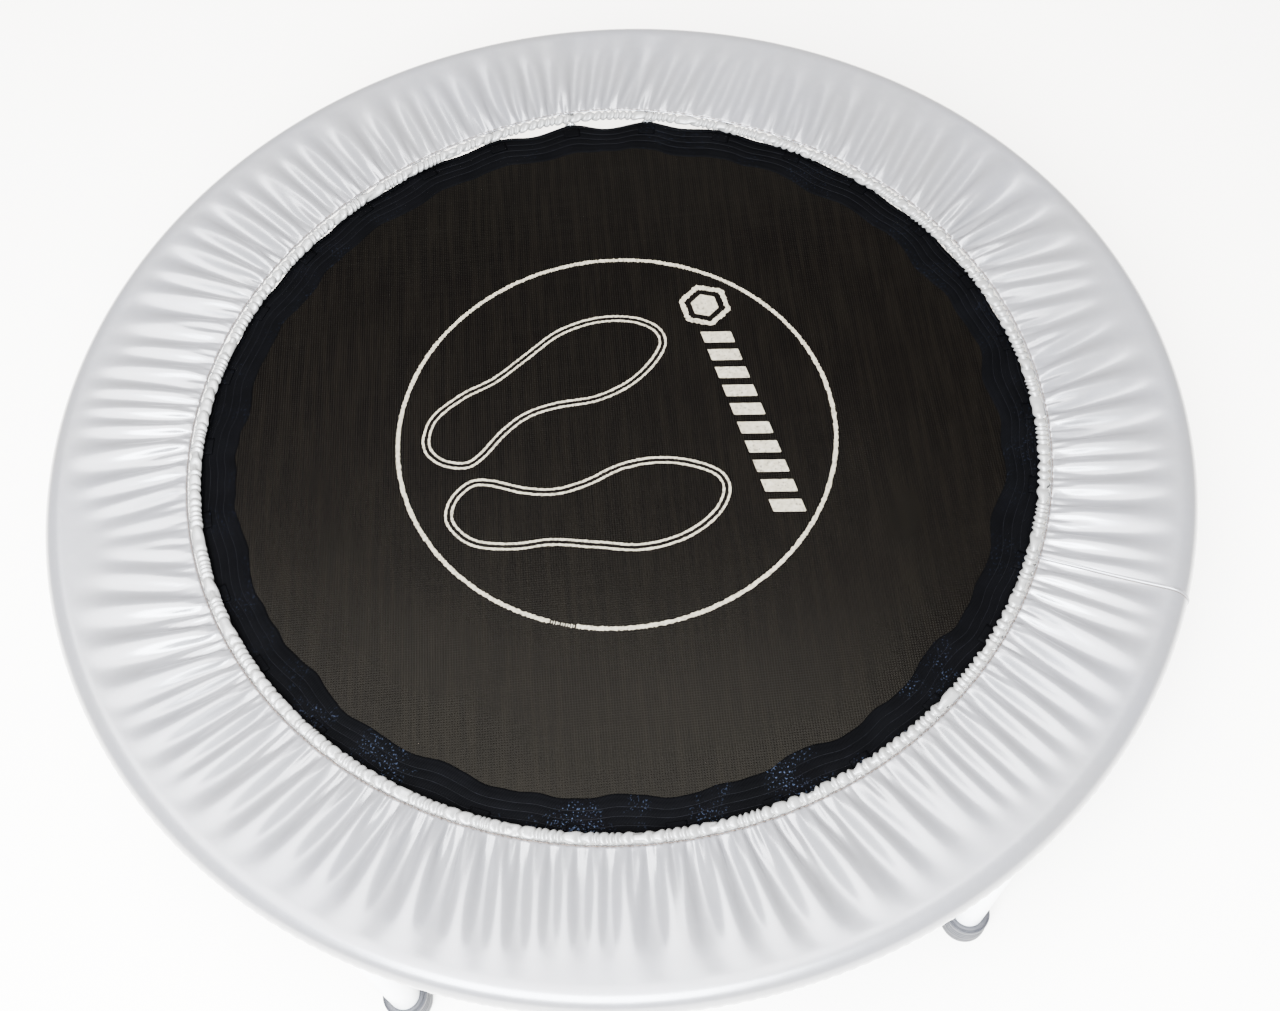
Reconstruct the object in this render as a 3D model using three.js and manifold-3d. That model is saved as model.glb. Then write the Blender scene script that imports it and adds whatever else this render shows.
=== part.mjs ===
// Mini trampoline: a one-piece steel ring on six screw-in legs, with a woven mat hung in it by thirty
// extension springs and a thin vinyl cover over the springs. Millimetres, +Z up, origin on the floor
// under the middle of the mat.
import * as THREE from "three";
import { mergeVertices } from "three/addons/utils/BufferGeometryUtils.js";
import Module from "manifold-3d";

const wasm = await Module();
wasm.setup();

// ---- driving dimensions ----

const FIT_GAP = 0.3; // between pieces that touch
const ROUND_STEPS = 60; // sides of everything that goes round the whole trampoline

const RING_HEIGHT = 210; // the ring's centreline above the floor
const RING_RADIUS = 470;
const RING_TUBE_RADIUS = 12.5;
const RING_WALL = 1.5;
const RING_TUBE_SIDES = 10;
const RING_BORE_SIDES = 8;

const MAT_DROP = 10; // the mat lies this far under the ring's centreline
const MAT_THICKNESS = 1.6;
const HEM_THICKNESS = 3;
const HEM_INNER_RADIUS = 320;
const HEM_CREST_RADIUS = 361; // outer edge at a spring
const HEM_DIP_RADIUS = 352; // outer edge between two springs

const SPRING_COUNT = 30;
const SPRING_FIRST_ANGLE = 9; // degrees
const SPRING_BODY_INNER_END = 379;
const SPRING_BODY_OUTER_END = 447;
const SPRING_RADIUS = 6;
const SPRING_WALL = 1.4;
const SPRING_SIDES = 6;
const SPRING_WIRE = 2.2;

const V_RING_WIRE = 2.6;
const V_RING_APEX_RADIUS = 371;

const SLOT_WIDTH = 5;
const SLOT_TOP_DROP = 6; // the slot's upper edge under the ring's centreline
const SLOT_INNER_RADIUS = 455;
const SLOT_OUTER_RADIUS = 468;

const LEG_COUNT = 6;
const LEG_FIRST_ANGLE = 3; // degrees
const LEG_TUBE_RADIUS = 12.5;
const LEG_TUBE_WALL = 1.2;
const LEG_SIDES = 12;
const LEG_TUBE_BOTTOM = 8;

const BOSS_RADIUS = 9;
const BOSS_LENGTH = 11; // below the ring
const STUD_RADIUS = 4;
const STUD_REACH = 17; // above the leg's top
const PLUG_LENGTH = 15;

const FOOT_RADIUS = 19;
const FOOT_HEIGHT = 30;
const FOOT_CHAMFER = 1.5;
const FOOT_FLOOR = 7.5; // rubber under the tube

const COVER_THICKNESS = 2;
const COVER_CLEARANCE = 0.6; // between the cover and the ring
const COVER_INNER_RADIUS = 366.2;
const COVER_INNER_DROP = 3; // its underside there, under the ring's centreline
const COVER_TUCK = 38; // degrees that it wraps below the ring's outer side
const COVER_WRAP_STEPS = 6;

const ELASTIC_RADIUS = 360.5;
const ELASTIC_TUBE_RADIUS = 5;
const ELASTIC_DROP = 3;
const ELASTIC_SIDES = 6;

const matHeight = RING_HEIGHT - MAT_DROP;
const bossBottom = RING_HEIGHT - RING_TUBE_RADIUS - BOSS_LENGTH;
const legTop = bossBottom - FIT_GAP;
// A flat side of the ring lies nearer its middle than its corners do, and springs and legs meet flat sides.
const sideRadius = RING_RADIUS * Math.cos(Math.PI / ROUND_STEPS);

// ---- materials ----

const paintedFrame = new THREE.MeshStandardMaterial({ color: 0xdcdfe2, roughness: 0.45, metalness: 0.3 });
const paintedLeg = new THREE.MeshStandardMaterial({ color: 0xe9ecef, roughness: 0.4, metalness: 0.3 });
const zincSteel = new THREE.MeshStandardMaterial({ color: 0xb4b7ba, roughness: 0.4, metalness: 0.9 });
const greyRubber = new THREE.MeshStandardMaterial({ color: 0x55565c, roughness: 0.85, metalness: 0 });
const wovenMat = new THREE.MeshStandardMaterial({ color: 0x16140f, roughness: 0.9, metalness: 0 });
const hemWebbing = new THREE.MeshStandardMaterial({ color: 0x0d0d11, roughness: 0.9, metalness: 0 });
const silverVinyl = new THREE.MeshStandardMaterial({ color: 0xd9d8dd, roughness: 0.4, metalness: 0 });

// ---- solids ----

/** A closed geometry as a manifold-3d solid. */
function solidOf(geometry) {
  const bare = geometry.index ? geometry.toNonIndexed() : geometry.clone();
  bare.deleteAttribute("normal");
  bare.deleteAttribute("uv");
  const merged = mergeVertices(bare, 1e-4);
  return new wasm.Manifold(
    new wasm.Mesh({
      numProp: 3,
      vertProperties: new Float32Array(merged.attributes.position.array),
      triVerts: new Uint32Array(merged.index.array),
    }),
  );
}

/** A manifold-3d solid as a three.js geometry. */
function geometryOf(solid) {
  const mesh = solid.getMesh();
  const geometry = new THREE.BufferGeometry();
  geometry.setAttribute("position", new THREE.BufferAttribute(new Float32Array(mesh.vertProperties), 3));
  geometry.setIndex(new THREE.BufferAttribute(new Uint32Array(mesh.triVerts), 1));
  geometry.computeVertexNormals();
  return geometry;
}

/** A named mesh. */
function part(name, geometry, material) {
  const mesh = new THREE.Mesh(geometry, material);
  mesh.name = name;
  return mesh;
}

/** A solid of revolution about +Z. The profile holds [radius, z] points that close on themselves. */
function turned(profile, sides) {
  const points = [...profile, profile[0]].map(([radius, z]) => new THREE.Vector2(radius, z));
  return new THREE.LatheGeometry(points, sides).rotateX(Math.PI / 2);
}

/** A rod of revolution about +Z whose profile starts and ends on the axis. */
function turnedRod(profile, sides) {
  const points = profile.map(([radius, z]) => new THREE.Vector2(radius, z));
  return new THREE.LatheGeometry(points, sides).rotateX(Math.PI / 2);
}

/** A ring with a round section, lying flat round the trampoline's axis. */
function torus(radius, tubeRadius, height, sides) {
  return new THREE.TorusGeometry(radius, tubeRadius, sides, ROUND_STEPS).translate(0, 0, height);
}

/** A square wire through [x, z] points in the plane y = 0. */
function wire(points, thickness) {
  const half = thickness / 2;
  const section = new THREE.Shape();
  section.moveTo(-half, -half);
  section.lineTo(half, -half);
  section.lineTo(half, half);
  section.lineTo(-half, half);
  section.closePath();
  const path = new THREE.CatmullRomCurve3(points.map(([x, z]) => new THREE.Vector3(x, 0, z)));
  return new THREE.ExtrudeGeometry(section, {
    extrudePath: path,
    steps: points.length,
    bevelEnabled: false,
  });
}

/** The angles, in radians, of count places spread evenly round the trampoline. */
function anglesOf(count, firstDegrees) {
  const first = THREE.MathUtils.degToRad(firstDegrees);
  return Array.from({ length: count }, (_, i) => first + (i * 2 * Math.PI) / count);
}

const springAngles = anglesOf(SPRING_COUNT, SPRING_FIRST_ANGLE);
const legAngles = anglesOf(LEG_COUNT, LEG_FIRST_ANGLE);

// ---- frame ----

/** The slot that a spring's outer hook goes through, in the ring's lower inner quarter. */
function springSlot(angle) {
  const length = SLOT_OUTER_RADIUS - SLOT_INNER_RADIUS;
  const height = 2 * RING_TUBE_RADIUS - SLOT_TOP_DROP;
  return new THREE.BoxGeometry(length, SLOT_WIDTH, height)
    .translate(SLOT_INNER_RADIUS + length / 2, 0, RING_HEIGHT - SLOT_TOP_DROP - height / 2)
    .rotateZ(angle);
}

/** The hole in the ring's underside that a leg's stud goes through. */
function studHole(angle) {
  return new THREE.CylinderGeometry(STUD_RADIUS + 0.7, STUD_RADIUS + 0.7, RING_TUBE_RADIUS, LEG_SIDES)
    .rotateX(Math.PI / 2)
    .translate(sideRadius, 0, RING_HEIGHT - RING_TUBE_RADIUS)
    .rotateZ(angle);
}

/** The steel ring: a hollow tube bent round, with a slot for each spring and a hole for each leg. */
function frameRing() {
  const tube = solidOf(torus(RING_RADIUS, RING_TUBE_RADIUS, RING_HEIGHT, RING_TUBE_SIDES));
  const bore = solidOf(torus(RING_RADIUS, RING_TUBE_RADIUS - RING_WALL, RING_HEIGHT, RING_BORE_SIDES));
  let ring = tube.subtract(bore);
  for (const angle of springAngles) ring = ring.subtract(solidOf(springSlot(angle)));
  for (const angle of legAngles) ring = ring.subtract(solidOf(studHole(angle)));
  return part("frame_ring", geometryOf(ring), paintedFrame);
}

/** A threaded boss, its top shaped to sit under the ring's tube. */
function legBoss(name, angle) {
  const bore = STUD_RADIUS + 0.4;
  const sleeve = turned(
    [
      [bore, bossBottom],
      [BOSS_RADIUS, bossBottom],
      [BOSS_RADIUS, RING_HEIGHT - RING_TUBE_RADIUS / 2],
      [bore, RING_HEIGHT - RING_TUBE_RADIUS / 2],
    ],
    LEG_SIDES,
  )
    .translate(sideRadius, 0, 0)
    .rotateZ(angle);
  const saddle = torus(RING_RADIUS, RING_TUBE_RADIUS + FIT_GAP, RING_HEIGHT, RING_TUBE_SIDES);
  return part(name, geometryOf(solidOf(sleeve).subtract(solidOf(saddle))), paintedFrame);
}

// ---- legs ----

/** A leg's steel tube, open at both ends. */
function legTube() {
  const inner = LEG_TUBE_RADIUS - LEG_TUBE_WALL;
  return turned(
    [
      [inner, LEG_TUBE_BOTTOM],
      [LEG_TUBE_RADIUS, LEG_TUBE_BOTTOM],
      [LEG_TUBE_RADIUS, legTop],
      [inner, legTop],
    ],
    LEG_SIDES,
  );
}

/** The plug in a leg's top, with the stud that screws into the boss. */
function legStud() {
  const plugRadius = LEG_TUBE_RADIUS - LEG_TUBE_WALL - FIT_GAP;
  return turnedRod(
    [
      [0, legTop - PLUG_LENGTH],
      [plugRadius, legTop - PLUG_LENGTH],
      [plugRadius, legTop],
      [STUD_RADIUS, legTop],
      [STUD_RADIUS, legTop + STUD_REACH],
      [0, legTop + STUD_REACH],
    ],
    LEG_SIDES,
  );
}

/** The rubber cup on a leg's lower end. */
function legFoot() {
  const bore = LEG_TUBE_RADIUS + FIT_GAP;
  return turnedRod(
    [
      [0, 0],
      [FOOT_RADIUS - FOOT_CHAMFER, 0],
      [FOOT_RADIUS, FOOT_CHAMFER],
      [FOOT_RADIUS - 1, FOOT_HEIGHT - 4],
      [bore + 2, FOOT_HEIGHT],
      [bore, FOOT_HEIGHT],
      [bore, FOOT_FLOOR],
      [0, FOOT_FLOOR],
    ],
    LEG_SIDES,
  );
}

/** One leg, in a group that stands where its boss is. */
function leg(number, angle) {
  const group = new THREE.Group();
  group.add(part(`leg_tube_${number}`, legTube(), paintedLeg));
  group.add(part(`leg_stud_${number}`, legStud(), zincSteel));
  group.add(part(`leg_foot_${number}`, legFoot(), greyRubber));
  group.position.set(sideRadius * Math.cos(angle), sideRadius * Math.sin(angle), 0);
  group.rotation.z = angle;
  return group;
}

// ---- springs ----

/** The close-wound coil of a spring, as the tube that it fills, along +X. */
function springCoil() {
  return turned(
    [
      [SPRING_RADIUS - SPRING_WALL, SPRING_BODY_INNER_END],
      [SPRING_RADIUS, SPRING_BODY_INNER_END],
      [SPRING_RADIUS, SPRING_BODY_OUTER_END],
      [SPRING_RADIUS - SPRING_WALL, SPRING_BODY_OUTER_END],
    ],
    SPRING_SIDES,
  ).rotateY(Math.PI / 2);
}

/** The hook at the ring: from the coil's top down to the slot and up behind the ring's wall. */
function outerHook() {
  return wire(
    [
      [SPRING_BODY_OUTER_END - 1, 5],
      [SPRING_BODY_OUTER_END + 6, 2.8],
      [SPRING_BODY_OUTER_END + 11, 0],
      [SPRING_BODY_OUTER_END + 17, 0],
      [SPRING_BODY_OUTER_END + 18.8, 3.2],
      [SPRING_BODY_OUTER_END + 16.2, 5.8],
    ],
    SPRING_WIRE,
  );
}

/** The hook at the mat: from the coil's top round the V-ring's bar. */
function innerHook() {
  return wire(
    [
      [SPRING_BODY_INNER_END + 1, 5],
      [SPRING_BODY_INNER_END - 6, 5.2],
      [SPRING_BODY_INNER_END - 11, 4.4],
      [SPRING_BODY_INNER_END - 13, 0],
      [SPRING_BODY_INNER_END - 11, -4.4],
      [SPRING_BODY_INNER_END - 6, -4.8],
    ],
    SPRING_WIRE,
  );
}

/** The spring that lies along +X, at the mat's height. */
function springGeometry() {
  const spring = solidOf(springCoil()).add(solidOf(outerHook())).add(solidOf(innerHook()));
  return geometryOf(spring).translate(0, 0, matHeight);
}

// ---- mat ----

/** The woven sheet inside the border. */
function matBed() {
  const bed = new THREE.CylinderGeometry(
    HEM_INNER_RADIUS - FIT_GAP,
    HEM_INNER_RADIUS - FIT_GAP,
    MAT_THICKNESS,
    ROUND_STEPS,
  );
  return part("mat_bed", bed.rotateX(Math.PI / 2).translate(0, 0, matHeight), wovenMat);
}

/** The border's outline: pulled outwards at each spring, and curving inwards between two springs. */
function hemShape() {
  const steps = SPRING_COUNT * 4;
  const middle = (HEM_CREST_RADIUS + HEM_DIP_RADIUS) / 2;
  const swing = (HEM_CREST_RADIUS - HEM_DIP_RADIUS) / 2;
  const edge = anglesOf(steps, SPRING_FIRST_ANGLE).map((angle) => {
    const radius = middle + swing * Math.cos(SPRING_COUNT * (angle - springAngles[0]));
    return new THREE.Vector2(radius * Math.cos(angle), radius * Math.sin(angle));
  });
  const hole = anglesOf(ROUND_STEPS, 0).map(
    (angle) => new THREE.Vector2(HEM_INNER_RADIUS * Math.cos(angle), HEM_INNER_RADIUS * Math.sin(angle)),
  );
  const shape = new THREE.Shape(edge);
  shape.holes.push(new THREE.Path(hole));
  return shape;
}

/** One V-ring, its open side sewn into the border and its bar held by the spring's hook. */
function vRing(angle) {
  const root = HEM_CREST_RADIUS - 4;
  const apex = V_RING_APEX_RADIUS + V_RING_WIRE / 2;
  const outline = (inset) => [
    new THREE.Vector2(root + inset, -9 + inset * 1.2),
    new THREE.Vector2(apex - inset, -5 + inset),
    new THREE.Vector2(apex - inset, 5 - inset),
    new THREE.Vector2(root + inset, 9 - inset * 1.2),
  ];
  const shape = new THREE.Shape(outline(0));
  shape.holes.push(new THREE.Path(outline(V_RING_WIRE)));
  return new THREE.ExtrudeGeometry(shape, { depth: V_RING_WIRE, bevelEnabled: false })
    .translate(0, 0, -V_RING_WIRE / 2)
    .rotateZ(angle);
}

/** The doubled border of the mat with its V-rings. */
function matHem() {
  const band = new THREE.ExtrudeGeometry(hemShape(), { depth: HEM_THICKNESS, bevelEnabled: false });
  let hem = solidOf(band.translate(0, 0, -HEM_THICKNESS / 2));
  for (const angle of springAngles) hem = hem.add(solidOf(vRing(angle)));
  return part("mat_hem", geometryOf(hem).translate(0, 0, matHeight), hemWebbing);
}

// ---- cover ----

/** One side of the cover's section, at a distance from the ring's tube, as [radius, z] from the stitch line out. */
function coverSide(tubeDistance, innerZ) {
  const reach = RING_RADIUS - COVER_INNER_RADIUS;
  const wrapRadius = RING_TUBE_RADIUS + tubeDistance;
  const from = Math.PI / 2 + Math.asin(wrapRadius / reach) * 0.9;
  const to = -THREE.MathUtils.degToRad(COVER_TUCK);
  const side = [[COVER_INNER_RADIUS, innerZ]];
  for (let i = 0; i <= COVER_WRAP_STEPS; i++) {
    const angle = from + ((to - from) * i) / COVER_WRAP_STEPS;
    side.push([RING_RADIUS + wrapRadius * Math.cos(angle), RING_HEIGHT + wrapRadius * Math.sin(angle)]);
  }
  return side;
}

/** The vinyl cover: from the elastic over the springs, over the ring and a little under it. */
function cover() {
  const under = coverSide(COVER_CLEARANCE, RING_HEIGHT - COVER_INNER_DROP);
  const over = coverSide(COVER_CLEARANCE + COVER_THICKNESS, RING_HEIGHT - COVER_INNER_DROP + COVER_THICKNESS);
  return part("cover", turned([...under, ...over.reverse()], ROUND_STEPS), silverVinyl);
}

/** The gathered casing with the elastic, which rests on the mat's border. */
function coverElastic() {
  const casing = torus(ELASTIC_RADIUS, ELASTIC_TUBE_RADIUS, RING_HEIGHT - ELASTIC_DROP, ELASTIC_SIDES);
  return part("cover_elastic", casing, silverVinyl);
}

// ---- the whole trampoline ----

const trampoline = new THREE.Group();
trampoline.add(frameRing(), matBed(), matHem(), cover(), coverElastic());

legAngles.forEach((angle, i) => {
  trampoline.add(legBoss(`leg_boss_${i + 1}`, angle));
  trampoline.add(leg(i + 1, angle));
});

const springShape = springGeometry();
springAngles.forEach((angle, i) => {
  const spring = part(`spring_${String(i + 1).padStart(2, "0")}`, springShape, zincSteel);
  spring.rotation.z = angle;
  trampoline.add(spring);
});

export default trampoline;
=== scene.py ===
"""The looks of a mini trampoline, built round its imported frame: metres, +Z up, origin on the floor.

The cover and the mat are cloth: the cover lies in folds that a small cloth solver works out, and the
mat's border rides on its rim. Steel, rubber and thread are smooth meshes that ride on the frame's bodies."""
import math

import bmesh
import bpy
import numpy as np
from mathutils import Matrix, Quaternion, Vector


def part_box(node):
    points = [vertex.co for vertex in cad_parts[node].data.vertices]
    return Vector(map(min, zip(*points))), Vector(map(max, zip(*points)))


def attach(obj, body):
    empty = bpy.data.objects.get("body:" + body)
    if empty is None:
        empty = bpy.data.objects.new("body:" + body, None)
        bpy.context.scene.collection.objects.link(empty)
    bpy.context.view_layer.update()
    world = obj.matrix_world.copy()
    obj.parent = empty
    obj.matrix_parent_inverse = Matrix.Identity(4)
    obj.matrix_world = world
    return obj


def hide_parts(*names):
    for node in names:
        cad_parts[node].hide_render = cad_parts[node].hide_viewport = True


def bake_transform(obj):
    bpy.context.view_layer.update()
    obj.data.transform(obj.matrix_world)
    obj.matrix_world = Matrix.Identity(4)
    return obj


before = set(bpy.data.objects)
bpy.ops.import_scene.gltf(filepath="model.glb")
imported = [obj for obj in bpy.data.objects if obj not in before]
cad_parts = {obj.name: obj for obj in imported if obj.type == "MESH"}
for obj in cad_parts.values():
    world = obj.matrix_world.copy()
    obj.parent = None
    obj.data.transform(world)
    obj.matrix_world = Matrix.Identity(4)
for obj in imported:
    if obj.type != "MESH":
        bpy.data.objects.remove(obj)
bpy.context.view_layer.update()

# ---- sizes, in metres ----

MM = 0.001
TUBE_RADIUS = 12.5 * MM
TUBE_WALL = 1.5 * MM
SPRINGS = 30
FIRST_SPRING = math.radians(9)
LEGS = 6
FIRST_LEG = math.radians(3)

ring_low, ring_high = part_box("frame_ring")
RING_RADIUS = ring_high.x - TUBE_RADIUS
RING_Z = (ring_low.z + ring_high.z) / 2
SIDE_RADIUS = RING_RADIUS * math.cos(math.pi / 60)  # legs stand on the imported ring's 60 flat sides
mat_low, mat_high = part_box("mat_bed")
MAT_Z = (mat_low.z + mat_high.z) / 2
BED_RADIUS = mat_high.x
BOSS_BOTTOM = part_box("leg_boss_1")[0].z
LEG_BOTTOM, LEG_TOP = (corner.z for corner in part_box("leg_tube_1"))
STUD_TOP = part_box("leg_stud_1")[1].z
FOOT_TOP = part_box("leg_foot_1")[1].z

COVER_GAP = 0.9 * MM  # from the ring's tube to the middle of the vinyl
COVER_THICKNESS = 0.9 * MM
COVER_TUCK = math.radians(40)  # how far it wraps below the ring's outer side
STITCH_RADIUS = 366.2 * MM  # the seam between the cover and the elastic's casing
FOLD_FLOOR = RING_Z - 3.5 * MM  # tops of the springs, which the folds rest on
SEAM_ANGLE = math.radians(-26.3)
SEAM_LEAN = math.radians(-0.7)  # how far round the seam's inner end is pulled

MAT_SAG = 2 * MM
MAT_HALF = 0.6 * MM
MAT_CLOTH_RADIUS = 345 * MM
BAND_HALF = 1.5 * MM

spring_angles = [FIRST_SPRING + i * math.tau / SPRINGS for i in range(SPRINGS)]
leg_angles = [FIRST_LEG + i * math.tau / LEGS for i in range(LEGS)]


# ---- mesh making ----

def grid_faces(rows, columns, wrap_rows=False, wrap_columns=True):
    """Quads over a grid of rows x columns points, numbered row by row."""
    r = np.arange(rows if wrap_rows else rows - 1)
    c = np.arange(columns if wrap_columns else columns - 1)
    r, c = (x.ravel() for x in np.meshgrid(r, c, indexing="ij"))
    r2, c2 = (r + 1) % rows, (c + 1) % columns
    return np.stack([r * columns + c, r * columns + c2, r2 * columns + c2, r2 * columns + c], 1)


def fan_faces(first, count, middle):
    """Triangles between a ring of points, numbered from first, and the point in its middle."""
    return [[first + i, first + (i + 1) % count, middle] for i in range(count)]


def capped_faces(rows, sides):
    """Quads round a bar of rows x sides points, and a face at each end."""
    first = np.arange(sides)
    last = first + (rows - 1) * sides
    return [*grid_faces(rows, sides).tolist(), first.tolist(), last.tolist()]


def full_turn(count):
    """Angles evenly spaced round a circle."""
    return np.arange(count) * math.tau / count


def outward(obj, weld=0.0):
    """Turns every face outwards, after joining points closer together than weld."""
    work = bmesh.new()
    work.from_mesh(obj.data)
    if weld:
        bmesh.ops.remove_doubles(work, verts=work.verts, dist=weld)
    bmesh.ops.recalc_face_normals(work, faces=work.faces)
    work.to_mesh(obj.data)
    work.free()
    return obj


def mesh_object(name, points, faces, material, smooth=True):
    """A mesh object from arrays of points and faces, its faces turned outwards."""
    mesh = bpy.data.meshes.new(name)
    mesh.from_pydata(np.asarray(points).reshape(-1, 3).tolist(), [], [list(map(int, f)) for f in faces])
    mesh.materials.append(material)
    mesh.polygons.foreach_set("use_smooth", [smooth] * len(mesh.polygons))
    made = bpy.data.objects.new(name, mesh)
    bpy.context.scene.collection.objects.link(made)
    return outward(made)


def joined_object(name, parts, material, smooth=True):
    """One object from several (points, faces) parts."""
    points, faces, count = [], [], 0
    for part_points, part_faces in parts:
        part_points = np.asarray(part_points).reshape(-1, 3)
        points.append(part_points)
        faces += [[int(i) + count for i in face] for face in part_faces]
        count += len(part_points)
    return mesh_object(name, np.concatenate(points), faces, material, smooth)


def headings(path, closed=True):
    """The direction of travel at each point of a path."""
    if closed:
        ahead = np.roll(path, -1, 0) - np.roll(path, 1, 0)
    else:
        ahead = np.gradient(path, axis=0)
    return ahead / np.linalg.norm(ahead, axis=1)[:, None]


def left_sides(path, closed=True):
    """The direction to the left at each point of an x, y path."""
    ahead = headings(path, closed)
    return np.stack([-ahead[:, 1], ahead[:, 0]], 1)


def measured_loop(path):
    """A closed path's length, and a function that gives its points at distances along it."""
    path = np.vstack([path, path[:1]])
    along = np.concatenate([[0], np.cumsum(np.linalg.norm(np.diff(path, axis=0), axis=1))])
    return along[-1], lambda places: np.stack([np.interp(places, along, axis) for axis in path.T], 1)


def tube_part(path, radius, sides, closed=False):
    """Points and faces of a round bar along a path, with flat ends unless it is closed."""
    path = np.asarray(path, float)
    ahead = headings(path, closed)
    side = np.cross(ahead[0], [0, 0, 1.0])
    if np.linalg.norm(side) < 0.1:
        side = np.cross(ahead[0], [0, 1.0, 0])
    sideways = np.zeros_like(path)
    for i, forward in enumerate(ahead):
        side = side - forward * (side @ forward)
        side /= np.linalg.norm(side)
        sideways[i] = side
    upright = np.cross(sideways, ahead)
    turn = full_turn(sides)
    radius = np.broadcast_to(radius, len(path))[:, None, None]
    across = np.cos(turn)[None, :, None] * sideways[:, None]
    along = np.sin(turn)[None, :, None] * upright[:, None]
    points = path[:, None] + radius * (across + along)
    if closed:
        return points, grid_faces(len(path), sides, wrap_rows=True)
    return points, capped_faces(len(path), sides)


def tube_object(name, path, radius, sides, material, closed=False):
    """A round bar along a path."""
    return joined_object(name, [tube_part(path, radius, sides, closed)], material)


def lathe(name, profile, material, sides=48, closed=True):
    """A solid of revolution about Z. A profile that is not closed starts and ends on the axis."""
    profile = np.asarray(profile, float)
    rings = polar(profile[:, :1], full_turn(sides), profile[:, 1:])
    made = mesh_object(name, rings, grid_faces(len(profile), sides, wrap_rows=closed), material)
    return outward(made, weld=1e-6)


def rounded(profile, radius, closed=True, steps=4):
    """The profile with each corner cut round to a radius, as far as its sides allow."""
    profile = [np.array(p, float) for p in profile]
    out = []
    for i, corner in enumerate(profile):
        if not closed and i in (0, len(profile) - 1):
            out.append(corner)
            continue
        to_before = profile[i - 1] - corner
        to_after = profile[(i + 1) % len(profile)] - corner
        room = 0.45 * min(np.linalg.norm(to_before), np.linalg.norm(to_after))
        cut = min(radius, room)
        a = corner + to_before / np.linalg.norm(to_before) * cut
        b = corner + to_after / np.linalg.norm(to_after) * cut
        for t in np.linspace(0, 1, steps + 1):
            out.append((1 - t) ** 2 * a + 2 * t * (1 - t) * corner + t * t * b)
    return out


def place_at(obj, radius, angle):
    """Moves the mesh of an object made round the origin out to a radius and angle."""
    obj.data.transform(Matrix.Rotation(angle, 4, "Z") @ Matrix.Translation((radius, 0, 0)))
    return obj


def thicken_sheet(piece, thickness, offset):
    """Gives a sheet its thickness: offset -1 grows it down from the surface, 0 both ways, 1 up."""
    made = piece.modifiers.new("thickness", "SOLIDIFY")
    made.thickness = thickness
    made.offset = offset


def fit(piece, body, node=None):
    """Rides a piece on a body and in place of a CAD node if it stands for one."""
    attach(piece, body)
    if node:
        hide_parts(node)


def spun(points, angle):
    """Points in x, y turned about the origin."""
    return points @ np.array([[math.cos(angle), math.sin(angle)], [-math.sin(angle), math.cos(angle)]])


def circle(angle):
    """Points of the circle of radius 1 in x, y."""
    return np.stack([np.cos(angle), np.sin(angle)], -1)


def polar(radius, angle, z):
    """Points from radii, angles and heights, which may be arrays."""
    radius, angle, z = np.broadcast_arrays(radius, angle, z)
    return np.stack([radius * np.cos(angle), radius * np.sin(angle), z], -1)


def wander(rng, columns, low, high):
    """A smooth random wave round a circle, from -1 to 1, with between low and high crests."""
    turn = full_turn(columns)
    wave = np.zeros(columns)
    for crests in range(low, high):
        wave += rng.normal() * np.cos(crests * turn + rng.uniform(0, math.tau))
    return wave / np.abs(wave).max()


def bump_at(angle, centre, width):
    """A smooth hump round the circle, 1 at its centre."""
    away = (angle - centre + math.pi) % math.tau - math.pi
    return np.exp(-((away / width) ** 2))


# ---- finishes ----

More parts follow.
